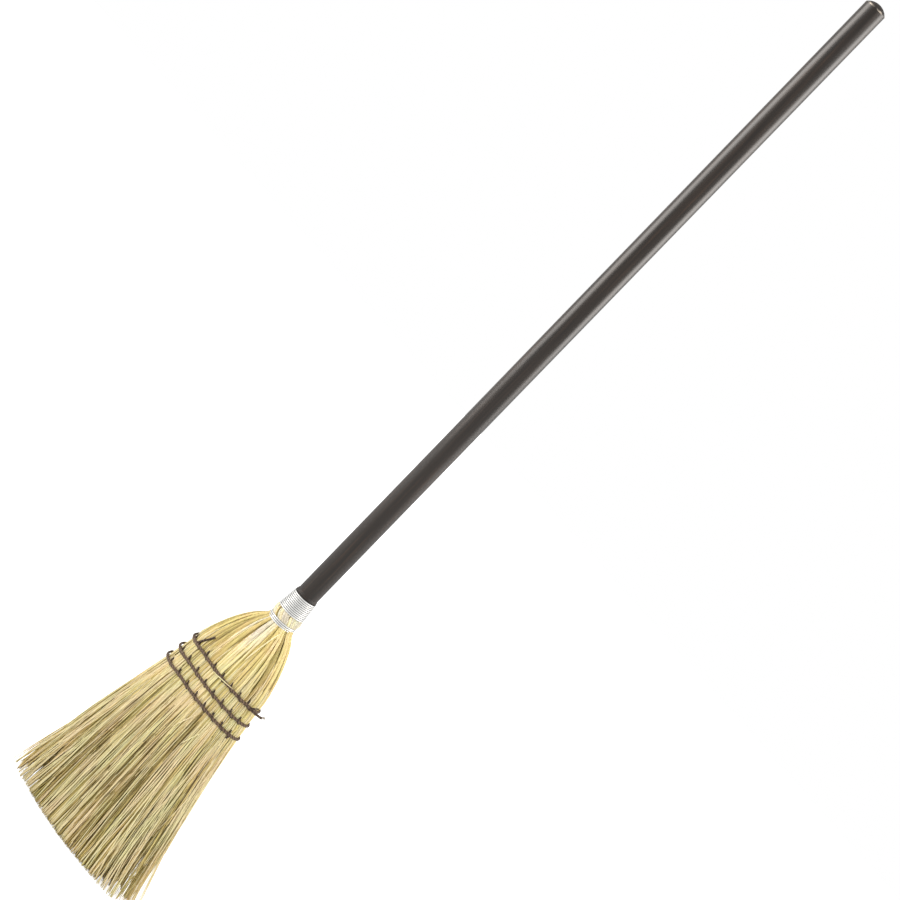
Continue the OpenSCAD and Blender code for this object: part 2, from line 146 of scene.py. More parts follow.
def tubes(paths, towards, width, thick):
    """Points of tubes, as an array of tubes, rings, sides and coordinates.

    Each ring is an ellipse square to its path: the first axis of the ellipse is the part of the vector
    towards that is square to the path's heading, the second is the heading crossed with the first.
    width is the half size along the second axis, thick along the first, both with a last axis of sides.
    """
    sides = width.shape[-1]
    turn = np.arange(sides) * 2 * np.pi / sides
    heading = unit(np.gradient(paths, axis=1))
    first = unit(towards - np.sum(towards * heading, axis=-1, keepdims=True) * heading)
    second = np.cross(heading, first)
    out = (thick * np.cos(turn))[..., None] * first[:, :, None, :]
    across = (width * np.sin(turn))[..., None] * second[:, :, None, :]
    return paths[:, :, None, :] + out + across


def tube_faces(count, rings, sides):
    """Quads round and along each tube, and a fan of triangles over each of its two ends."""
    ids = np.arange(count * rings * sides).reshape(count, rings, sides)
    beside = np.roll(ids, -1, axis=2)
    walls = np.stack([ids[:, :-1], beside[:, :-1], beside[:, 1:], ids[:, 1:]], axis=-1)
    fan = np.arange(1, sides - 1)
    hub = np.zeros(sides - 2, int)
    first = ids[:, 0][:, np.stack([hub, fan + 1, fan], axis=-1)]
    last = ids[:, -1][:, np.stack([hub, fan, fan + 1], axis=-1)]
    return walls.reshape(-1, 4), np.concatenate([first.reshape(-1, 3), last.reshape(-1, 3)])


def mesh_object(name, points, quads, triangles, material, marks=None):
    """A smooth mesh object from points in millimetres, with one number per point for each named mark."""
    mesh = bpy.data.meshes.new(name)
    mesh.vertices.add(len(points))
    mesh.vertices.foreach_set("co", (points * METRE).astype(np.float32).ravel())
    corners = np.concatenate([quads.ravel(), triangles.ravel()]).astype(np.int32)
    mesh.loops.add(len(corners))
    mesh.loops.foreach_set("vertex_index", corners)
    starts = np.concatenate([np.arange(len(quads)) * 4, quads.size + np.arange(len(triangles)) * 3])
    mesh.polygons.add(len(starts))
    mesh.polygons.foreach_set("loop_start", starts.astype(np.int32))
    mesh.polygons.foreach_set("use_smooth", np.ones(len(starts), bool))
    for mark, values in (marks or {}).items():
        attribute = mesh.attributes.new(mark, "FLOAT", "POINT")
        attribute.data.foreach_set("value", values.astype(np.float32).ravel())
    mesh.update(calc_edges=True)
    mesh.validate()
    mesh.materials.append(material)
    obj = bpy.data.objects.new(name, mesh)
    bpy.context.scene.collection.objects.link(obj)
    return obj


def place(obj, node):
    """A finished piece rides on the broom, and the CAD node that it replaces is hidden."""
    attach(obj, "root")
    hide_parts(node)


# Shape of the head

def share_below(z):
    """0 at the neck and above it, rising to 1 where the sewing starts, on the shoulder's curve."""
    t = np.clip((z - SEW_Z) / (NECK_Z - SEW_Z), 0, 1)
    return (1 - t ** SHOULDER_P) ** (1 / SHOULDER_Q)


def half_size(z, neck, sewn, tip):
    """Half of a width or thickness: the neck's, then the shoulder's curve to the sewing, then the flare."""
    flare = np.clip((SEW_Z - z) / SEW_Z, 0, 1) ** FLARE_P
    return neck + (sewn - neck) * share_below(z) + (tip - sewn) * flare


def bow(z):
    """How far the head lies off the handle's axis: a parabola, and a lean that grows to the tips."""
    t = np.clip(z / NECK_Z, 0, 1)
    return -4 * HEAD_BOW * t * (1 - t) - TIP_LEAN * (1 - t) ** 2


def pinch(z, x):
    """How far the three rows of twine draw in the corn: a bell curve over each tilted row."""
    rows = np.array(ROW_Z) - ROW_TILT * x[..., None]
    return GROOVE * np.exp(-((z[..., None] - rows) / GROOVE_HALF) ** 2).sum(axis=-1)


def parting(z, x):
    """How far the stitches push the corn aside: away from each hole, most at its edge, fading off."""
    level = z + ROW_TILT * x
    push = np.zeros_like(x)
    for row, upper, lower in zip(ROW_Z, UPPER_X, LOWER_X):
        for holes, rise in ((upper, UPPER_RISE + PART_ABOVE), (lower, -LOWER_RISE)):
            off = (x[..., None] - holes) / PART_W
            near = np.exp(-((level - row - rise) / PART_H) ** 2)
            push += PART * near * (off * np.exp(0.5 - 0.5 * off ** 2)).sum(axis=-1)
    return push


def collar_half(z):
    """How much wider than the neck the corn is above the neck wire: a smooth step out to the collar."""
    foot, rise = NECK_TOP_Z - 1.0, 1.5
    return (COLLAR_R - STALK_SINK - NECK_R) * ease(z, foot, foot + rise)


def on_head(z, share, depth):
    """A point of the head and the direction out of it, from a height, a share of the way round and a depth.

    The section is an ellipse. Its angle is the share plus a term in the sine of twice the share, so that
    shares evenly apart stay so on a flat ellipse as on the round neck. A depth of 1 is the surface.
    """
    neck = NECK_R - STALK_SINK
    wide = half_size(z, neck, SEWN_W / 2, TIP_W / 2) + collar_half(z)
    through = half_size(z, neck, SEWN_T / 2, TIP_T / 2) + collar_half(z)
    flatness = (wide - through) / (wide + through)
    angle = share + flatness / 2 * np.sin(2 * share)
    draw = pinch(z, wide * np.cos(angle))
    across = depth * (wide - draw) * np.cos(angle)
    x = bow(z) + across + parting(z, across)
    y = depth * (through - draw) * np.sin(angle)
    out = unit(np.stack([np.cos(angle) / wide, np.sin(angle) / through, 0 * z], axis=-1))
    return np.stack([x, y, z], axis=-1), out


# Materials

def new_material(name):
    """A node material, its nodes and links, and its Principled shader."""
    material = bpy.data.materials.new(name)
    material.use_nodes = True
    tree = material.node_tree
    return material, tree.nodes, tree.links, tree.nodes["Principled BSDF"]


def streak_group():
    """Lengthwise streaks: noise on Object coordinates, fine across Z and drawn out along it."""
    group = bpy.data.node_groups.new("lengthwise_streaks", "ShaderNodeTree")
    for label, value in (("Fineness", 600.0), ("Draw", 0.06)):
        socket = group.interface.new_socket(label, in_out="INPUT", socket_type="NodeSocketFloat")
        socket.default_value = value
    group.interface.new_socket("Streak", in_out="OUTPUT", socket_type="NodeSocketFloat")
    nodes, links = group.nodes, group.links
    entry = nodes.new("NodeGroupInput")
    place_on = nodes.new("ShaderNodeTexCoord")
    stretch = nodes.new("ShaderNodeCombineXYZ")
    stretch.inputs["X"].default_value = 1.0
    stretch.inputs["Y"].default_value = 1.0
    drawn = nodes.new("ShaderNodeVectorMath")
    drawn.operation = "MULTIPLY"
    noise = nodes.new("ShaderNodeTexNoise")
    noise.inputs["Detail"].default_value = 4.0
    leave = nodes.new("NodeGroupOutput")
    links.new(entry.outputs["Draw"], stretch.inputs["Z"])
    links.new(place_on.outputs["Object"], drawn.inputs[0])
    links.new(stretch.outputs["Vector"], drawn.inputs[1])
    links.new(drawn.outputs["Vector"], noise.inputs["Vector"])
    links.new(entry.outputs["Fineness"], noise.inputs["Scale"])
    links.new(noise.outputs["Fac"], leave.inputs["Streak"])
    return group


STREAKS = streak_group()


def add_streaks(nodes, fineness, draw):
    """The streak group in a material, with its own fineness across and draw along."""
    node = nodes.new("ShaderNodeGroup")
    node.node_tree = STREAKS
    node.inputs["Fineness"].default_value = fineness
    node.inputs["Draw"].default_value = draw
    return node


def add_ramp(nodes, stops):
    """A colour ramp with the given (place, colour) stops."""
    ramp = nodes.new("ShaderNodeValToRGB")
    elements = ramp.color_ramp.elements
    elements[0].position, elements[0].color = stops[0][0], (*stops[0][1], 1)
    elements[1].position, elements[1].color = stops[-1][0], (*stops[-1][1], 1)
    for spot, colour in stops[1:-1]:
        elements.new(spot).color = (*colour, 1)
    return ramp


def add_bump(nodes, links, shader, height, strength, distance):
    """A bump from a height socket into the shader's normal."""
    bump = nodes.new("ShaderNodeBump")
    bump.inputs["Strength"].default_value = strength
    bump.inputs["Distance"].default_value = distance
    links.new(height, bump.inputs["Height"])
    links.new(bump.outputs["Normal"], shader.inputs["Normal"])


def corn_material():
    """Dry broom corn: each stalk's tint from brown through straw to cream, streaked, in patches; the tints
    carry painted shade and painted light as well as the stalks' own colours.
    """
    material, nodes, links, shader = new_material("broom_corn")
    tint = nodes.new("ShaderNodeAttribute")
    tint.attribute_name = "tint"
    ramp = add_ramp(nodes, [
        (0.00, (0.15, 0.10, 0.03)),
        (0.14, (0.34, 0.25, 0.085)),
        (0.30, (0.60, 0.47, 0.18)),
        (0.48, (0.78, 0.612, 0.26)),
        (0.70, (0.87, 0.71, 0.38)),
        (BRIGHTEST, (0.905, 0.785, 0.505)),
        (1.00, (0.70, 0.645, 0.53)),
    ])
    streaks = add_streaks(nodes, 900.0, 0.05)
    shade = nodes.new("ShaderNodeMix")
    shade.data_type = "RGBA"
    shade.blend_type = "MULTIPLY"
    shade.inputs["Factor"].default_value = 0.55
    tone = add_ramp(nodes, [(0.32, (0.55, 0.5, 0.42)), (0.62, (1.0, 1.0, 1.0))])
    patches = add_streaks(nodes, 110.0, 0.22)
    cast = add_ramp(nodes, [(0.36, (0.935, 1.0, 0.87)), (0.64, (1.0, 0.96, 0.935))])
    aged = nodes.new("ShaderNodeMix")
    aged.data_type = "RGBA"
    aged.blend_type = "MULTIPLY"
    aged.inputs["Factor"].default_value = 1.0
    links.new(tint.outputs["Fac"], ramp.inputs["Fac"])
    links.new(streaks.outputs["Streak"], tone.inputs["Fac"])
    links.new(ramp.outputs["Color"], shade.inputs["A"])
    links.new(tone.outputs["Color"], shade.inputs["B"])
    links.new(patches.outputs["Streak"], cast.inputs["Fac"])
    links.new(shade.outputs["Result"], aged.inputs["A"])
    links.new(cast.outputs["Color"], aged.inputs["B"])
    links.new(aged.outputs["Result"], shader.inputs["Base Color"])
    shader.inputs["Roughness"].default_value = 0.5
    shader.inputs["Specular IOR Level"].default_value = 0.35
    add_bump(nodes, links, shader, streaks.outputs["Streak"], 0.35, 0.0004)
    return material


def wood_material():
    """Black-brown lacquer over wood: a dark base with brown grain, semi-gloss.

    It is duller near the lip and on the end. The bevel round the top is paler in patches.
    """
    material, nodes, links, shader = new_material("lacquered_wood")
    streaks = add_streaks(nodes, 420.0, 0.03)
    ramp = add_ramp(nodes, [
        (0.30, (0.007, 0.0048, 0.0032)),
        (0.55, (0.014, 0.0090, 0.0058)),
        (0.75, (0.030, 0.0172, 0.0105)),
    ])
    gloss = nodes.new("ShaderNodeMapRange")
    gloss.inputs["To Min"].default_value = 0.24
    gloss.inputs["To Max"].default_value = 0.38
    place_on = nodes.new("ShaderNodeTexCoord")
    split = nodes.new("ShaderNodeSeparateXYZ")
    worn = nodes.new("ShaderNodeMapRange")
    worn.inputs["From Min"].default_value = 0.62
    worn.inputs["From Max"].default_value = 0.30
    worn.inputs["To Max"].default_value = 0.22
    rough = nodes.new("ShaderNodeMath")
    end = nodes.new("ShaderNodeMapRange")
    end.inputs["From Min"].default_value = DOME_Z * METRE
    end.inputs["From Max"].default_value = (DOME_Z + 0.6) * METRE
    end.inputs["To Max"].default_value = 0.32
    dull = nodes.new("ShaderNodeMath")
    near_bevel = nodes.new("ShaderNodeMapRange")
    near_bevel.inputs["From Min"].default_value = (BEVEL_Z - 0.6) * METRE
    near_bevel.inputs["From Max"].default_value = (DOME_Z + 0.6) * METRE
    black, white = (0, 0, 0), (1, 1, 1)
    bevel = add_ramp(nodes, [(0.0, black), (0.25, white), (0.75, white), (1.0, black)])
    bevel_noise = nodes.new("ShaderNodeTexNoise")
    bevel_noise.inputs["Scale"].default_value = 220.0
    bevel_patches = add_ramp(nodes, [(0.45, black), (0.68, white)])
    pale_bevel = nodes.new("ShaderNodeMath")
    pale_bevel.operation = "MULTIPLY"
    coloured = nodes.new("ShaderNodeMix")
    coloured.data_type = "RGBA"
    coloured.inputs["B"].default_value = (0.42, 0.36, 0.29, 1)
    shader.inputs["IOR"].default_value = 1.40
    links.new(place_on.outputs["Object"], split.inputs["Vector"])
    links.new(split.outputs["Z"], worn.inputs["Value"])
    links.new(gloss.outputs["Result"], rough.inputs[0])
    links.new(worn.outputs["Result"], rough.inputs[1])
    links.new(split.outputs["Z"], end.inputs["Value"])
    links.new(rough.outputs["Value"], dull.inputs[0])
    links.new(end.outputs["Result"], dull.inputs[1])
    links.new(streaks.outputs["Streak"], ramp.inputs["Fac"])
    links.new(streaks.outputs["Streak"], gloss.inputs["Value"])
    links.new(split.outputs["Z"], near_bevel.inputs["Value"])
    links.new(near_bevel.outputs["Result"], bevel.inputs["Fac"])
    links.new(place_on.outputs["Object"], bevel_noise.inputs["Vector"])
    links.new(bevel_noise.outputs["Fac"], bevel_patches.inputs["Fac"])
    links.new(bevel.outputs["Color"], pale_bevel.inputs[0])
    links.new(bevel_patches.outputs["Color"], pale_bevel.inputs[1])
    links.new(pale_bevel.outputs["Value"], coloured.inputs["Factor"])
    links.new(ramp.outputs["Color"], coloured.inputs["A"])
    links.new(coloured.outputs["Result"], shader.inputs["Base Color"])
    links.new(dull.outputs["Value"], shader.inputs["Roughness"])
    add_bump(nodes, links, shader, streaks.outputs["Streak"], 0.12, 0.0003)
    return material


def wire_material(name, tone):
    """Bright galvanised steel, with patches of duller zinc, and painted shade that darkens its colour in
    the grooves between turns.
    """
    material, nodes, links, shader = new_material(name)
    place_on = nodes.new("ShaderNodeTexCoord")
    spangle = nodes.new("ShaderNodeTexNoise")
    spangle.inputs["Scale"].default_value = 260.0
    gloss = nodes.new("ShaderNodeMapRange")
    gloss.inputs["To Min"].default_value = 0.32
    gloss.inputs["To Max"].default_value = 0.50
    links.new(place_on.outputs["Object"], spangle.inputs["Vector"])
    links.new(spangle.outputs["Fac"], gloss.inputs["Value"])
    links.new(gloss.outputs["Result"], shader.inputs["Roughness"])
    # Painted shade: the colour darkens by the wire's mark for the grooves between turns.
    groove = nodes.new("ShaderNodeAttribute")
    groove.attribute_name = "groove"
    ramp = add_ramp(nodes, [(0.0, tone), (1.0, [0.70 * part for part in tone])])
    links.new(groove.outputs["Fac"], ramp.inputs["Fac"])
    links.new(ramp.outputs["Color"], shader.inputs["Base Color"])
    shader.inputs["Metallic"].default_value = 1.0
    return material


def twine_material(name, stops):
    """Waxed twine in three tones from its ply mark and fine noise, lightest on the crests of its plies; a
    lowered ply mark is painted shade where the twine thins into the corn.
    """
    material, nodes, links, shader = new_material(name)
    ply = nodes.new("ShaderNodeAttribute")
    ply.attribute_name = "ply"
    place_on = nodes.new("ShaderNodeTexCoord")
    fuzz = nodes.new("ShaderNodeTexNoise")
    fuzz.inputs["Scale"].default_value = 1400.0
    mixed = nodes.new("ShaderNodeMath")
    mixed.operation = "MULTIPLY_ADD"
    mixed.inputs[1].default_value = 0.45
    ramp = add_ramp(nodes, list(zip((0.46, 0.70, 1.00), stops)))
    links.new(place_on.outputs["Object"], fuzz.inputs["Vector"])
    links.new(ply.outputs["Fac"], mixed.inputs[0])
    links.new(fuzz.outputs["Fac"], mixed.inputs[2])
    links.new(mixed.outputs["Value"], ramp.inputs["Fac"])
    links.new(ramp.outputs["Color"], shader.inputs["Base Color"])
    shader.inputs["Roughness"].default_value = 0.62
    shader.inputs["Specular IOR Level"].default_value = 0.3
    add_bump(nodes, links, shader, fuzz.outputs["Fac"], 0.5, 0.0004)
    return material


CORN = corn_material()
WOOD = wood_material()
WIRE = wire_material("galvanised_wire", (0.59, 0.588, 0.572))
TACK = wire_material("tack_steel", (0.55, 0.55, 0.56))
TWINE = twine_material("sewing_twine", ((0.016, 0.009, 0.0055), (0.064, 0.038, 0.023), (0.21, 0.142, 0.09)))
FRAYED = twine_material("frayed_twine", ((0.10, 0.08, 0.06), (0.30, 0.26, 0.21), (0.55, 0.50, 0.43)))


# Corn

BUNDLES = {
    "front_cover_corn": (1.5 * math.pi, math.pi / 2 - SHOULDER_ANGLE),
    "back_cover_corn": (0.5 * math.pi, math.pi / 2 - SHOULDER_ANGLE),
    "left_shoulder_corn": (math.pi, SHOULDER_ANGLE),
    "right_shoulder_corn": (0.0, SHOULDER_ANGLE),
}


def bundle_of(share):
    """For each bundle of the outer layer, which of the strands start within its angles."""
    return {
        node: np.abs((share - middle + math.pi) % (2 * math.pi) - math.pi) <= half
        for node, (middle, half) in BUNDLES.items()
    }


def strand_paths(heights, share, lean, depth, sway):
    """Centre lines of strands and the directions out of the head along them, from their ring heights.

    The share of the way round moves by the lean, and by a slow sine wave of at most the sway, on the way
    down, so that strands cross and part as they go.
    """
    count = len(share)
    down = np.clip((NECK_Z - heights) / NECK_Z, 0, 1)
    wave = rng.uniform(0.0, sway, count)[:, None]
    phase = rng.uniform(0, 2 * np.pi, (count, 1))
    swayed = wave * np.sin(phase + heights / WAVE_PER_RADIAN) * down
    return on_head(heights, share[:, None] + lean[:, None] * down + swayed, depth)


def ring_heights(stations, shares, rings):
    """Heights of strands' rings: evenly spaced between stations, each at its share of the rings."""
    place_in = np.linspace(0, 1, rings)
    which = np.clip(np.searchsorted(shares, place_in, side="right") - 1, 0, len(shares) - 2)
    part = (place_in - np.take(shares, which)) / np.diff(shares)[which]
    stack = np.stack(np.broadcast_arrays(*stations), axis=-1)
    return stack[:, which] + (stack[:, which + 1] - stack[:, which]) * part


def strand_piece(name, node, paths, out, width, thick, tint, sides):
    """One piece of many strands: tubes with the given half widths along them, and a tint for each ring."""
    count, rings = paths.shape[:2]
    ones = np.ones((1, 1, sides))
    points = tubes(paths, out, width[..., None] * ones, thick[..., None] * ones)
    quads, triangles = tube_faces(count, rings, sides)
    tints = np.broadcast_to(np.clip(tint, 0, 1)[..., None], (count, rings, sides))
    obj = mesh_object(name, points.reshape(-1, 3), quads, triangles, CORN, {"tint": tints})
    place(obj, node)


def spaced(count, jitter):
    """Shares of the way round that are evenly apart but for a jitter."""
    return (np.arange(count) + rng.uniform(-jitter, jitter, count)) * 2 * np.pi / count % (2 * np.pi)


def by_bundle(suffix, share, paths, out, width, thick, tint, sides):
    """Strands shared out to the four outer bundles, one piece to each that gets any."""
    for node, chosen in bundle_of(share).items():
        if chosen.any():
            strand_piece(node.replace("_corn", suffix), node, paths[chosen], out[chosen],
                         width[chosen], thick[chosen], tint[chosen], sides)


def at_side(share):
    """0 on the two faces of the head, rising to 1 at its two edges."""
    return ease(np.abs(np.cos(share)), 0.45, 0.9)


def fade_pale(tint, heights):
    """Tints by ring: the butts' pale cream turns to bright straw on its way down the shoulder."""
    pale = np.where(tint > BRIGHTEST, tint - FADED, 0)
    return tint - pale * ease(heights, SEW_Z + 50, SEW_Z + 18)


def add_butt_stalks():
    """Broad stalks under the neck wire, which taper over the shoulder and run on past the sewing."""
    count, rings, sides = 40, 26, 6
    share = spaced(count, 0.38)
    top, above, below = np.full(count, NECK_Z + 4.5), SEW_Z + 9, ROW_Z[2] - 10
    bottom = rng.uniform(40, 120, count)
    heights = ring_heights([top, above, below, bottom], [0, 0.4, 0.82, 1.0], rings)
    depth = rng.uniform(0.975, 1.0, count)[:, None] * np.ones((1, rings))
    paths, out = strand_paths(heights, share, rng.normal(0, 0.10, count), depth, sway=0.02)
    over_sewing = [-196, -76, -31, 0, 19, 39, 54, 66]
    taper = np.interp(heights - SEW_Z, over_sewing, [0.3, 0.5, 0.7, 0.9, 1.15, 1.5, 1.6, 1.45])
    width = rng.uniform(0.65, 1.3, count)[:, None] * taper
    tint = rng.choice([1.0, 0.90, 0.56, 0.44, 0.36, 0.25], count, p=[0.34, 0.14, 0.15, 0.14, 0.13, 0.10])
    # Painted shade: the tint is lowered towards the head's two edges.
    tint = (tint + rng.normal(0, 0.03, count)) * (1 - SIDE_PAINTED_SHADE * at_side(share))
    tint = fade_pale(tint[:, None], heights)
    by_bundle("_butt_stalks", share, paths, out, width, 0.5 * width, tint, sides)


def add_stalks():
    """Stalks that come up from under the broad ones on the shoulder and end within the sewing."""
    count, rings, sides = 150, 16, 4
    share = spaced(count, 0.6)
    top = NECK_Z + rng.uniform(-4, 1.5, count)
    bottom = SEW_Z - rng.uniform(4, 38, count)
    heights = ring_heights([top, SEW_Z + 9, bottom], [0, 0.5, 1.0], rings)
    sunk = rng.uniform(0.0, 0.05, count)[:, None]
    depth = 0.88 + (0.105 - sunk) * ease(heights, NECK_Z, NECK_Z - 26)
    paths, out = strand_paths(heights, share, rng.normal(0, 0.12, count), depth, sway=0.02)
    over_sewing = [-36, 0, 19, 39, 54, 66]
    taper = np.interp(heights - SEW_Z, over_sewing, [0.4, 0.75, 1.0, 1.1, 0.95, 0.7])
    width = rng.uniform(0.6, 1.35, count)[:, None] * taper
    # Painted shade: the tint is lowered towards the head's edges and for stalks that are sunk.
    tint = rng.choice([1.0, 0.6, 0.44, 0.3], count) * (1 - SIDE_PAINTED_SHADE * at_side(share))
    tint = fade_pale(tint[:, None] - SUNK_PAINTED_SHADE * sunk, heights)
    by_bundle("_stalks", share, paths, out, width, 0.6 * width, tint, sides)


def add_fine_stalks():
    """Fine stalks through the rows of sewing and on into the fan, which start between the broader ones."""
    count, rings, sides = 640, 17, 3
    share = rng.uniform(0, 2 * np.pi, count)
    top = SEW_Z + rng.uniform(8, 50, count)
    bottom = rng.uniform(50, 155, count)
    heights = ring_heights([top, SEW_Z + 6, ROW_Z[2] - 9, bottom], [0, 0.2, 0.8, 1.0], rings)
    top, bottom = top[:, None], bottom[:, None]
    sunk = np.abs(rng.normal(0, 0.018, count))[:, None]
    depth = 0.92 + (0.075 - sunk) * ease(heights, top, top - 18)
    paths, out = strand_paths(heights, share, rng.normal(0, 0.08, count), depth, sway=0.02)
    ends = ease(heights, top + 1, top - 14) * (0.35 + 0.65 * ease(heights, bottom, 150))
    width = rng.uniform(0.42, 0.80, count)[:, None] * (0.25 + 0.75 * ends)
    dark = rng.uniform(0, 1, count) < 0.22
    tint = np.where(dark, rng.uniform(-0.1, 0.2, count), rng.beta(3.0, 1.5, count))[:, None]
    # Painted light (lit) raises the tint above the lowest row and fades out below it; painted shade lowers
    # the tint of sunk stalks.
    painted_light = 0.36 * ease(heights, ROW_Z[2] - 28, ROW_Z[2])
    tint = np.minimum(tint - SUNK_PAINTED_SHADE * sunk + painted_light, BRIGHTEST)
    by_bundle("_fine_stalks", share, paths, out, width, 0.75 * width, tint, sides)


def add_underlay():
    """Darker stalks under the outer ones, which show in the gaps between them: their tint is partly their
    own colour and partly painted shade in the gaps.
    """
    count, rings, sides = 330, 12, 3
    share = rng.uniform(0, 2 * np.pi, count)
    top = NECK_Z + rng.uniform(0, 4.5, count)
    bottom = rng.uniform(30, 120, count)
    heights = ring_heights([top, SEW_Z + 9, bottom], [0, 0.45, 1.0], rings)
    depth = rng.uniform(0.84, 0.93, count)[:, None] * np.ones((1, rings))
    paths, out = strand_paths(heights, share, rng.normal(0, 0.12, count), depth, sway=0.03)
    stalk = rng.uniform(0.7, 1.3, count)[:, None]
    width = stalk * (0.55 + 0.6 * share_below(heights)) * (0.4 + 0.6 * np.clip(heights / 200, 0, 1))
    sewn = ease(heights, SEW_Z + 22, SEW_Z) * ease(heights, ROW_Z[2] - 30, ROW_Z[2] - 5)
    tint = rng.uniform(0.0, 0.35, count)[:, None] + 0.42 * sewn
    by_bundle("_underlay", share, paths, out, width, 0.7 * width, tint, sides)


def fan_fibres(suffix, count, depth, size, tint, loose, dark):
    """Fibres from under the sewing to the trimmed tips, within ranges of depth, half width and tint.

    Those at the two edges of the fan end short of the floor, but for the given share of loose ones, so that
    the corners are lacy. Every fibre thins out at its tip. A share of them is dark.
    """
    rings, sides = 10, 3
    share = spaced(count, 1.1)
    clump = (share * CLUMPS / (2 * np.pi)).astype(int) % CLUMPS
    side = np.cos(share)
    right = side > 0
    edge = np.where(right, ease(side, 0.78, 0.94), ease(-side, 0.82, 0.97))
    short = rng.uniform(0, 1, count) < edge * (1 - loose * np.where(right, 0.6, 1.0))
    missing = np.where(right, 78.0, 58.0) * rng.uniform(0.05, 1, count) ** np.where(right, 0.6, 0.75)
    bottom = FLOOR_CLEAR + np.where(short, missing, np.abs(rng.normal(0, 1.0, count)))
    heights = ring_heights([rng.uniform(150, 186, count), bottom + 10, bottom], [0, 0.75, 1.0], rings)
    stray = np.where(rng.uniform(0, 1, count) < 0.18, 2.4, 1.0)
    lean = rng.normal(0, 0.14, count) * stray + rng.normal(0, 0.07, CLUMPS)[clump]
    level = rng.uniform(*depth, count)[:, None]
    drawn = 1 - 0.06 * edge[:, None] * ease(heights, 88, 4)
    paths, out = strand_paths(heights, share, lean, level * drawn, sway=0.035)
    width = rng.uniform(*size, count)[:, None] * (1.0 - 0.38 * np.clip(heights / 170, 0, 1))
    thinning = np.where(short, 32.0, 5.0)
    thinned = np.where(short, 0.35, 0.6)[:, None]
    full = ease(heights, bottom[:, None], (bottom + thinning)[:, None])
    width = width * (thinned + (1 - thinned) * full)
    mood = rng.uniform(-0.12, 0.12, CLUMPS)[clump]
    shade = tint[0] + (tint[1] - tint[0]) * rng.beta(1.7, 1.3, count) + mood
    # Painted light towards the fan's two edges, the right more, and towards the tips: fewer fibres are dark
    # at the edges, and tints are lifted there and near the tips.
    lateral = ease(np.abs(side), 0.5, 0.9)
    darkened = rng.uniform(0, 1, count) < dark * (1 - 0.6 * lateral)
    shade = np.where(darkened, rng.uniform(0.0, 0.2, count), shade)
    painted_light = (np.where(right, 0.26, 0.16) * lateral)[:, None] + 0.14 * ease(heights, 100, 10)
    shade = np.minimum(shade[:, None] + painted_light, BRIGHTEST)
    by_bundle(suffix, share, paths, out, width, 0.85 * width, shade, sides)


def add_fan():
    """Bright fibres on the outside of the fan, with gaps between them, over darker ones: the darker tints
    of the deeper layers are partly their own colour and partly painted shade in the gaps.
    """
    fan_fibres("_fan_outer", 320, depth=(0.965, 1.0), size=(0.58, 1.20), tint=(0.68, 0.97),
               loose=0.20, dark=0.24)
    fan_fibres("_fan_under", 540, depth=(0.90, 0.95), size=(0.42, 0.80), tint=(0.16, 0.84),
               loose=0.10, dark=0.38)
    fan_fibres("_fan_inner", 800, depth=(0.78, 0.89), size=(0.40, 0.65), tint=(0.0, 0.22),
               loose=0.0, dark=0.2)


def add_wisps():
    """Thin loose fibres at the two lower corners of the fan, which stand off from it."""
    count, rings, sides = 150, 9, 3
    left = np.arange(count) % 3 > 0
    share = rng.normal(0, 0.24, count) + np.pi * left
    bottom = FLOOR_CLEAR + rng.gamma(1.1, 4.0, count)
    heights = ring_heights([rng.uniform(95, 160, count), bottom], [0, 1.0], rings)
    start, low, high = 0.97, np.where(left, 0.86, 0.78), 1.03
    end = low + (high - low) * rng.uniform(0, 1, count)
    depth = start + (end - start)[:, None] * ease(heights, 100, 4)
    paths, out = strand_paths(heights, share, rng.normal(0, 0.1, count), depth, sway=0.05)
    width = rng.uniform(0.22, 0.52, count)[:, None] * (1 - 0.4 * ease(heights, 40, bottom[:, None]))
    tint = rng.uniform(0.4, BRIGHTEST, count)[:, None] + 0 * heights
    by_bundle("_wisps", share % (2 * np.pi), paths, out, width, width, tint, sides)


def add_strays():
    """Single straws across the front: over the right shoulder, over the upper row, and in the fan.

    Each row of spans gives the two ends of a straw, as places across and heights.
    """
    rings, sides = 12, 5
    spans = np.array([
        [12.0, 266.5, 9.0, 229.0],
        [-3.6, 202.4, 21.0, 205.4],
        [27.0, 158.0, 21.0, 139.0],
        [13.0, 166.0, 5.0, 143.0],
        [-22.0, 128.0, -20.0, 66.0],
        [34.0, 96.0, 47.0, 34.0],
        [72.0, 66.0, 89.5, 15.0],
    ])
    t = np.linspace(0, 1, rings)[None, :]
    x = spans[:, :1] + (spans[:, 2:3] - spans[:, :1]) * t
    z = spans[:, 1:2] + (spans[:, 3:] - spans[:, 1:2]) * t
    wide = half_size(z, NECK_R, SEWN_W / 2, TIP_W / 2)
    through = half_size(z, NECK_R, SEWN_T / 2, TIP_T / 2)
    proud = np.array([0.9, 2.9, 1.0, 1.0, 1.0, 1.0, 0.5])[:, None]
    y = -through * np.sqrt(np.clip(1 - ((x - bow(z)) / wide) ** 2, 0.02, 1)) - proud
    paths = np.stack([x, y, z], axis=-1)
    out = np.broadcast_to(np.array([0.0, -1.0, 0.0]), paths.shape)
    size = np.array([0.7, 0.42, 0.48, 0.48, 0.5, 0.5, 0.4])[:, None]
    width = size * (1 - 0.6 * np.abs(2 * t - 1) ** 3)
    tint = BRIGHTEST + 0 * z
    strand_piece("front_cover_strays", "front_cover_corn", paths, out, width, 0.8 * width, tint, sides)


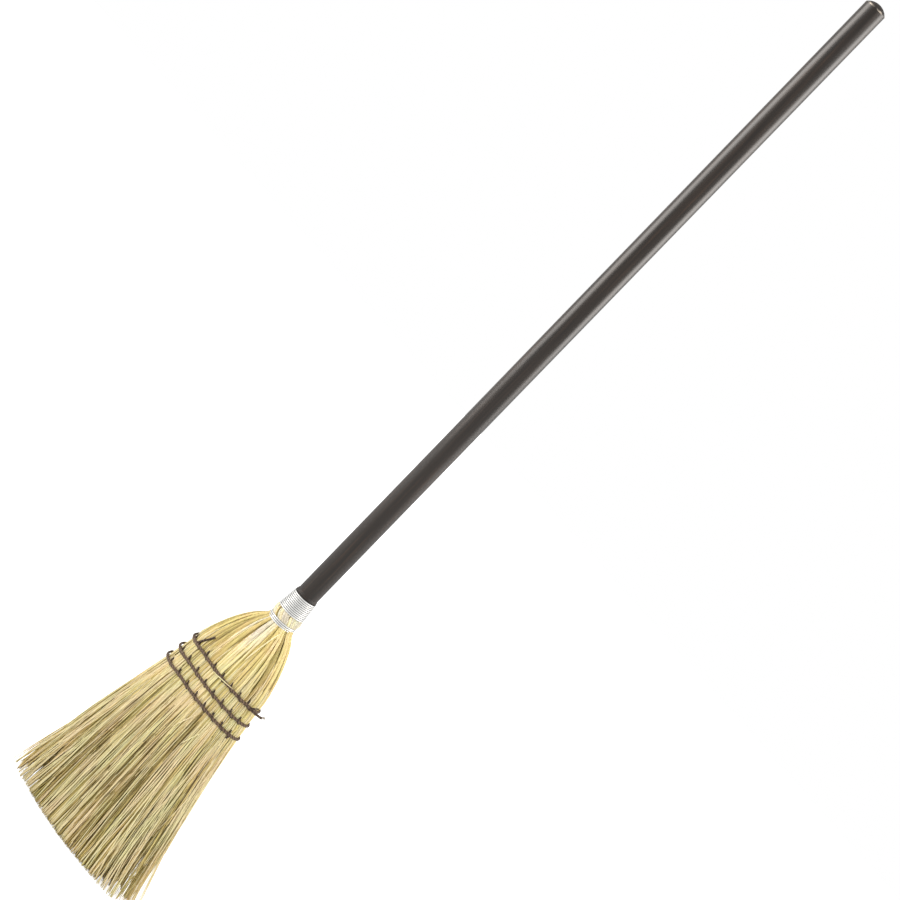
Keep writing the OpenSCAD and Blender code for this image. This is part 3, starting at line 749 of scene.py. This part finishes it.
def add_core():
    """Inside corn: thicker stalks round the shank under the covers, and fibres down to the tips."""
    count, rings, sides = 1500, 10, 3
    share = rng.uniform(0, 2 * np.pi, count)
    level = 0.82 * np.sqrt(rng.uniform(0.01, 1, count))
    top = np.where(level > 0.45, rng.uniform(232, 264, count), rng.uniform(157, 200, count))
    bottom = FLOOR_CLEAR + np.abs(rng.normal(0, 1.5, count))
    heights = ring_heights([top, bottom], [0, 1.0], rings)
    edge = ease(np.abs(np.cos(share)), 0.7, 0.95)[:, None]
    depth = level[:, None] * (1 - 0.2 * edge * ease(heights, 90, 5))
    paths, out = strand_paths(heights, share, rng.normal(0, 0.06, count), depth, sway=0.02)
    width = rng.uniform(0.8, 1.2, count)[:, None] * (0.42 + 0.75 * np.clip(heights / 200, 0, 1))
    tint = rng.normal(0.22, 0.15, count)[:, None] + 0 * heights
    strand_piece("core_stalks", "core_corn", paths, out, width, width, tint, sides)


def add_collar():
    """Trimmed butts of the covers above the neck wire: a straight layer, and one that slants over it."""
    count, rings, sides = 72, 6, 6
    layer = np.arange(count) % 2
    share = (np.arange(count) // 2 + rng.uniform(-0.2, 0.2, count)) * 4 * np.pi / count % (2 * np.pi)
    tilt = layer * rng.normal(-0.42, 0.07, count)
    low = NECK_Z + 1.0
    high = BUTT_TOP_Z + 0.5 - rng.uniform(0, 1.0, count) * layer
    t = np.linspace(0, 1, rings)[None, :]
    z = low + (high[:, None] - low) * t
    way = share[:, None] + tilt[:, None] * (t - 0.5)
    rise = ease(z, NECK_TOP_Z - 0.8, NECK_TOP_Z + 1.6) - 0.35 * ease(z, BUTT_TOP_Z - 3.0, BUTT_TOP_Z + 0.5)
    radius = NECK_R - 1.2 + (COLLAR_R - NECK_R) * rise + 0.45 * layer[:, None] * rise
    out = np.stack([np.cos(way), np.sin(way), 0 * way], axis=-1)
    paths = np.concatenate([radius[..., None] * out[..., :2], z[..., None]], axis=-1)
    ones = np.ones((1, rings, sides))
    width = (rng.uniform(1.1, 1.5, count) - 0.15 * layer)[:, None, None] * ones
    thick = rng.uniform(0.7, 0.95, count)[:, None, None] * ones
    points = tubes(paths, out, width, thick)
    side = np.sin(np.arange(sides) * 2 * np.pi / sides)
    points[:, -1, :, 2] += rng.uniform(-0.7, 0.7, count)[:, None] * width[:, -1] * side[None, :]
    tint = np.clip(rng.normal(0.99, 0.08, count), 0.3, 1)
    straw_way, straw_reach, dark_way = 4.36, 0.13, 4.55
    tint[np.abs(share - straw_way) < straw_reach] = 0.66
    tint[np.argmin(np.abs(share - dark_way) + 1 - layer)] = 0.08
    tint = np.broadcast_to(tint[:, None, None], (count, rings, sides))
    for node, chosen in bundle_of(share).items():
        quads, triangles = tube_faces(int(chosen.sum()), rings, sides)
        obj = mesh_object(node.replace("_corn", "_butts"), points[chosen].reshape(-1, 3), quads, triangles,
                          CORN, {"tint": tint[chosen]})
        place(obj, node)


add_butt_stalks()
add_stalks()
add_fine_stalks()
add_underlay()
add_fan()
add_wisps()
add_strays()
add_core()
add_collar()


# Wire

def tube_along(name, path, towards, radius, sides, node, material, marks=None):
    """One tube of the given radius, by ring and side, along a path in millimetres."""
    points = tubes(path[None], towards, radius[None], radius[None])
    quads, triangles = tube_faces(1, len(path), sides)
    obj = mesh_object(name, points.reshape(-1, 3), quads, triangles, material, marks)
    place(obj, node)


def add_wire():
    """The binding wire as one helix with touching turns: round the neck, over the collar, up the cone.

    Radius and height are joined up from a few stations by the turns that lie between them.
    """
    pitch = WIRE_D * 1.01
    neck_low = NECK_Z + 0.2
    neck_high = NECK_TOP_Z - 0.3
    neck_turns = (neck_high - neck_low) / pitch
    cone_low = BUTT_TOP_Z + 0.5
    cone_high = LIP_Z - 0.7
    cone_turns = (cone_high - cone_low) / pitch
    climb = 0.25
    cone_foot_r = 12.75
    rings_per_turn = 56
    sides = 12
    stations = np.cumsum([0, neck_turns, climb / 2, climb / 2, cone_turns])
    heights = [neck_low, neck_high, (NECK_TOP_Z + BUTT_TOP_Z) / 2, cone_low, cone_high]
    radii = [NECK_R + 0.4, NECK_R + 0.4, COLLAR_R + 0.3, cone_foot_r, HANDLE_R + 0.5]
    start = math.pi / 2 - climb * math.pi - neck_turns * 2 * math.pi
    turns = np.linspace(0, stations[-1], int(stations[-1] * rings_per_turn))
    angle = start + turns * 2 * np.pi
    radius = np.interp(turns, stations, radii)
    height = np.interp(turns, stations, heights)
    path = np.stack([radius * np.cos(angle), radius * np.sin(angle), height], axis=-1)
    up = np.array([0.0, 0.0, 1.0])
    # Painted shade: a mark that darkens the colour at the top and bottom of the wire, where the turns
    # touch.
    groove = np.abs(np.cos(np.arange(sides) * 2 * np.pi / sides)) ** 3 * np.ones((len(path), 1))
    tube_along("binding_wire_turns", path, up, np.full((len(path), sides), WIRE_D / 2), sides,
               "binding_wire", WIRE, {"groove": groove})


add_wire()


# Sewing

def smooth_path(corners, step, window):
    """A polyline, with one more number per corner, resampled evenly and rounded off by a running mean."""
    length = np.concatenate([[0], np.cumsum(np.linalg.norm(np.diff(corners[:, :3], axis=0), axis=1))])
    even = np.arange(0, length[-1], step)
    path = np.stack([np.interp(even, length, corners[:, k]) for k in range(4)], axis=-1)
    reach = int(window / step / 2)
    padded = np.pad(path, ((reach, reach), (0, 0)), mode="edge")
    total = np.cumsum(np.concatenate([np.zeros((1, 4)), padded]), axis=0)
    return (total[2 * reach + 1:] - total[:-2 * reach - 1]) / (2 * reach + 1)


def twine_piece(name, corners, node):
    """Two plies laid up in a twine along a path: the radius swells twice a turn, and turns once a lay.

    The corners' last number is the share of the full radius that the twine has there.
    """
    path = smooth_path(corners, TWINE_STEP, TWINE_ROUNDING)
    sides = 10
    along = np.arange(len(path))[:, None] * TWINE_STEP
    turn = np.arange(sides)[None, :] * 2 * np.pi / sides
    ply = np.abs(np.cos(turn - along * 2 * np.pi / TWINE_LAY))
    uneven = 1 + 0.07 * np.sin(along * 0.37) * np.sin(along * 0.9)
    radius = TWINE_R * path[:, 3:] * (0.78 + 0.22 * ply) * uneven
    # The ply mark falls with the square of the radius share, so the twine's colour darkens where it thins
    # into the corn: painted shade in the stitch holes.
    tube_along(name, path[:, :3], TWINE_TOWARDS, radius, sides, node, TWINE,
               {"ply": ply * path[:, 3:] ** 2})


def add_row(node, place_in, slack, tail, ends):
    """One row of sewing: a tail, the band round the head, and stitches that cross it on both faces.

    In front a stitch comes out of the corn above the band, slants down over it and goes in below it.
    Behind, the twine goes back up over the band to the next stitch. Heights follow the row's tilt across
    the head, and dip in front towards the left edge. The band stands off by its slack at the left edge,
    where it also climbs in a hook.
    """
    row, upper, lower = ROW_Z[place_in], UPPER_X[place_in], LOWER_X[place_in]
    middle = bow(row)
    proud = 0.7
    buried_above, buried_below = 0.8, 0.9

    def at(x, y, rise, share):
        """Points from places across, distances through, heights over the row and radius shares."""
        x, y, rise, share = np.broadcast_arrays(np.asarray(x, float), y, rise, share)
        rise = rise - ROW_DIP * ease(-x, 19.0, 40.0) * ease(y, 4.0, -4.0)
        return np.stack([middle + x, y, row - ROW_TILT * x + rise, share], axis=-1)

    def face(x, rise, proud):
        """Distance from the middle plane to the surface of the drawn-in corn."""
        level = np.asarray(row + rise, float)
        wide = half_size(level, NECK_R, SEWN_W / 2, TIP_W / 2) + proud
        through = half_size(level, NECK_R, SEWN_T / 2, TIP_T / 2) + proud
        return through * np.sqrt(np.clip(1 - (np.asarray(x, float) / wide) ** 2, 0.01, 1))

    angle = np.linspace(BAND_START, BAND_END, BAND_RINGS)
    wide = half_size(np.asarray(row), NECK_R, SEWN_W / 2, TIP_W / 2) + proud
    through = half_size(np.asarray(row), NECK_R, SEWN_T / 2, TIP_T / 2) + proud
    edge = np.clip(-np.cos(angle), 0, 1) ** np.where(np.sin(angle) < 0, 6, 40)
    loose_part = np.where((np.cos(angle) < 0) & (np.sin(angle) < 0), 0.92, 1.0)
    band_x = wide * np.sign(np.cos(angle)) * np.abs(np.cos(angle)) ** loose_part - slack * edge
    band_y = through * np.sign(np.sin(angle)) * np.abs(np.sin(angle)) ** loose_part
    reach = np.where(angle > HOOK_ANGLE, HOOK_FRONT, HOOK_BEHIND)
    hook = np.exp(-((angle - HOOK_ANGLE) / reach) ** 2)
    band = at(band_x, band_y, HOOK_RISE * hook, 1 - HOOK_THIN * hook)
    hop = proud + TWINE_R * 0.75
    over = (upper + lower) / 2
    onward = np.append(upper[1:], upper[-1])
    behind = (lower + onward) / 2
    stitches = np.stack([
        at(upper, -face(upper, UPPER_RISE, -buried_above), UPPER_RISE, 0.45),
        at(over, -face(over, 0, hop), 0.2, 0.8),
        at(lower, -face(lower, -LOWER_RISE, -buried_below), -LOWER_RISE, 0.55),
        at(lower, face(lower, -LOWER_RISE, -buried_below), -LOWER_RISE, 0.55),
        at(behind, face(behind, 0, hop), 0.2, 0.8),
        at(onward, face(onward, UPPER_RISE, -buried_above), UPPER_RISE, 0.45),
    ], axis=1).reshape(-1, 4)[:-3]
    inside = at([wide * np.cos(angle[-1]), upper[0]], -face(upper[0], 0, -7.0), 0.0, 0.6)
    first_x = wide * np.cos(angle[0])
    if tail:
        shares = np.array([0.75, 0.72, 0.65, 0.65, 0.75, 0.85])
        tail_x = np.linspace(tail[0], first_x, len(shares))
        tail_rise = np.linspace(tail[1], 0.8, len(shares))
        loose = at(tail_x, -face(tail_x, tail_rise, 0.5), tail_rise, shares)
    else:
        loose = at(first_x, -face(first_x, 0, -5.0), 0.5, 0.8)[None]
    twine_piece(node + "_sewn", np.concatenate([loose, band, inside, stitches, at(*ends)]), node)


def add_fray(node, tip, heading, count):
    """Fibres of a cut twine end: short hairs that fan out from the tip about the heading."""
    rings, sides, reach, hair = 4, 3, 3.2, 0.22
    spread = unit(np.array(heading, float) + rng.normal(0, 0.35, (count, 3)))
    t = np.linspace(0, 1, rings)[None, :, None]
    paths = np.array(tip, float) + rng.normal(0, 0.3, (count, 1, 3)) + spread[:, None, :] * reach * t
    size = hair * (1 - 0.6 * t) * np.ones((count, 1, sides))
    points = tubes(paths, TWINE_TOWARDS, size, size)
    quads, triangles = tube_faces(count, rings, sides)
    marks = {"ply": np.ones(count * rings * sides)}
    obj = mesh_object(node + "_fray", points.reshape(-1, 3), quads, triangles, FRAYED, marks)
    place(obj, node)


def add_cut_end():
    """The second cut end of the upper row, which leaves the band at the right edge and stands off."""
    x = np.array([44.0, 45.8, 47.6, 49.2, 50.6]) + bow(ROW_Z[0])
    y = np.array([-10.4, -10.4, -10.3, -10.2, -10.0])
    rise = np.array([0.8, 2.4, 4.0, 5.6, 7.0])
    corners = np.stack([x, y, ROW_Z[0] - ROW_TILT * x + rise, np.linspace(0.6, 0.34, 5)], axis=-1)
    twine_piece("upper_twine_cut_end", corners, "upper_twine")


# Ends of the three rows' twine: places across, distances through, heights over the row and radius shares
OUTSIDE = (
    [44.0, 48.5, 53.0, 56.6],
    [-9.5, -7.5, -6.5, -6.0],
    [-0.6, 0.2, 1.1, 2.2],
    [0.75, 0.8, 0.85, 0.9],
)
TUCKED = ([41.0, 40.0], [-4.0, -1.0], [-1.5, -1.5], 0.5)
BELOW = ([47.2, 47.4, 47.6], [-9.0, -9.7, -9.9], [-2.3, -3.3, -4.6], [0.6, 0.65, 0.5])
add_row("upper_twine", 0, 0.3, (-23.0, 16.0), OUTSIDE)
add_row("middle_twine", 1, 1.0, None, TUCKED)
add_row("lower_twine", 2, 0.6, None, BELOW)
add_cut_end()
add_fray("upper_twine", (bow(ROW_Z[0]) + 56.0, -6.0, ROW_Z[0] + 0.9), (1.0, 0.1, 0.8), 26)


# Rigid nodes that stay

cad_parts["handle"].data.materials.clear()
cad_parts["handle"].data.materials.append(WOOD)
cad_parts["wire_tack"].data.materials.clear()
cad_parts["wire_tack"].data.materials.append(TACK)


# Studio

def white_for_camera(nodes, links, lit, unlit):
    """Strength that is one value for camera, glossy and transmitted rays, and another for the rest."""
    rays = nodes.new("ShaderNodeLightPath")
    seen = nodes.new("ShaderNodeMath")
    seen.operation = "MAXIMUM"
    through = nodes.new("ShaderNodeMath")
    through.operation = "MAXIMUM"
    strength = nodes.new("ShaderNodeMapRange")
    strength.inputs["To Min"].default_value = unlit
    strength.inputs["To Max"].default_value = lit
    links.new(rays.outputs["Is Camera Ray"], seen.inputs[0])
    links.new(rays.outputs["Is Transmission Ray"], seen.inputs[1])
    links.new(seen.outputs["Value"], through.inputs[0])
    links.new(rays.outputs["Is Glossy Ray"], through.inputs[1])
    links.new(through.outputs["Value"], strength.inputs["Value"])
    return strength.outputs["Result"]


def add_world():
    """White to the camera and an even white sky to the object."""
    world = bpy.data.worlds.new("studio")
    bpy.context.scene.world = world
    world.use_nodes = True
    nodes, links = world.node_tree.nodes, world.node_tree.links
    background = nodes["Background"]
    background.inputs["Color"].default_value = (1, 1, 1, 1)
    links.new(white_for_camera(nodes, links, 1.0, 1.0), background.inputs["Strength"])


def add_floor():
    """A pale floor: part of its white is its own, the rest is lit, so that a soft shadow shows."""
    size = 3.0
    corners = np.array([[-size, -size, 0], [size, -size, 0], [size, size, 0], [-size, size, 0]]) / METRE
    material, nodes, links, shader = new_material("pale_floor")
    shader.inputs["Base Color"].default_value = (0.9, 0.9, 0.9, 1)
    shader.inputs["Roughness"].default_value = 0.9
    shader.inputs["Specular IOR Level"].default_value = 0.0
    shader.inputs["Emission Color"].default_value = (1, 1, 1, 1)
    links.new(white_for_camera(nodes, links, 0.7, 0.0), shader.inputs["Emission Strength"])
    floor = mesh_object("floor", corners, np.array([[0, 1, 2, 3]]), np.zeros((0, 3), int), material)


def stand(across, upward, back, spot):
    """Matrix of a lamp or camera from its three axes and its spot."""
    turn = np.eye(4)
    turn[:3, :] = np.stack([across, upward, back, spot], axis=1)
    return Matrix(turn.tolist())


def add_softbox(name, spot, aim, size, power, spread, tint):
    """A rectangular lamp at a spot, in metres, turned to its aim; its beam's spread is in degrees."""
    lamp = bpy.data.lights.new(name, "AREA")
    lamp.shape = "RECTANGLE"
    lamp.size, lamp.size_y = size
    lamp.energy = power
    lamp.color = tint
    lamp.spread = math.radians(spread)
    obj = bpy.data.objects.new(name, lamp)
    back = unit(np.array(spot, float) - np.array(aim, float))
    side = unit(np.cross([0.0, 0.0, 1.0], back))
    rise = np.cross(back, side)
    obj.matrix_world = stand(side, rise, back, spot)
    bpy.context.scene.collection.objects.link(obj)


def add_camera():
    """The photograph's view: turned about the handle, from a little above, rolled to lay it askew."""
    yaw, painted_light, roll = math.radians(24.82), math.radians(9.51), math.radians(44.11)
    distance = 2200.0
    aim_right, aim_up = 0.98, 479.9
    focal_pixels, picture_pixels, sensor = 2601.6, 900, 36.0
    target = np.array([aim_right * math.cos(yaw), aim_right * math.sin(yaw), aim_up])
    back = np.array([math.sin(yaw) * math.cos(painted_light), -math.cos(yaw) * math.cos(painted_light), math.sin(painted_light)])
    right = np.array([math.cos(yaw), math.sin(yaw), 0.0])
    up = np.cross(back, right)
    across = math.cos(roll) * right + math.sin(roll) * up
    upward = -math.sin(roll) * right + math.cos(roll) * up
    spot = (target + distance * back) * METRE
    lens = bpy.data.cameras.new("camera")
    lens.sensor_width = sensor
    lens.lens = focal_pixels / picture_pixels * sensor
    lens.clip_end = 50.0
    camera = bpy.data.objects.new("camera", lens)
    camera.matrix_world = stand(across, upward, back, spot)
    bpy.context.scene.collection.objects.link(camera)
    bpy.context.scene.camera = camera
    return right, back


RIGHT, BACK = add_camera()
add_world()
add_floor()

# Softboxes beside the upper handle, which give it its two strips, and keys on the head
MIDDLE = np.array([0.0, 0.0, 0.90])
HIGH = np.array([0.0, 0.0, 1.25])
HEAD = np.array([0.0, 0.0, 0.12])
WARM, WHITE = (1.0, 0.96, 0.92), (1.0, 1.0, 1.0)
BOX_OUT, BOX_SIZE, BOX_SPREAD = 1.1, (1.15, 1.0), 68
KEY_OUT, KEY_NEAR, KEY_SIZE, KEY_SPREAD = 1.4, 1.3, (0.8, 0.7), 180
LEFT_BOX = MIDDLE - RIGHT * BOX_OUT + BACK * 0.2
RIGHT_BOX = MIDDLE + RIGHT * BOX_OUT - BACK * 0.05
LEFT_KEY = HIGH - RIGHT * KEY_OUT + BACK * KEY_NEAR
RIGHT_KEY = HIGH + RIGHT * KEY_OUT + BACK * KEY_NEAR
add_softbox("left_softbox", LEFT_BOX, MIDDLE, BOX_SIZE, 6.0, BOX_SPREAD, WARM)
add_softbox("right_softbox", RIGHT_BOX, MIDDLE, BOX_SIZE, 5.7, BOX_SPREAD, WARM)
add_softbox("left_key", LEFT_KEY, HEAD, KEY_SIZE, 5.8, KEY_SPREAD, WHITE)
add_softbox("right_key", RIGHT_KEY, HEAD, KEY_SIZE, 6.8, KEY_SPREAD, WHITE)
bpy.context.scene.view_settings.view_transform = "Standard"
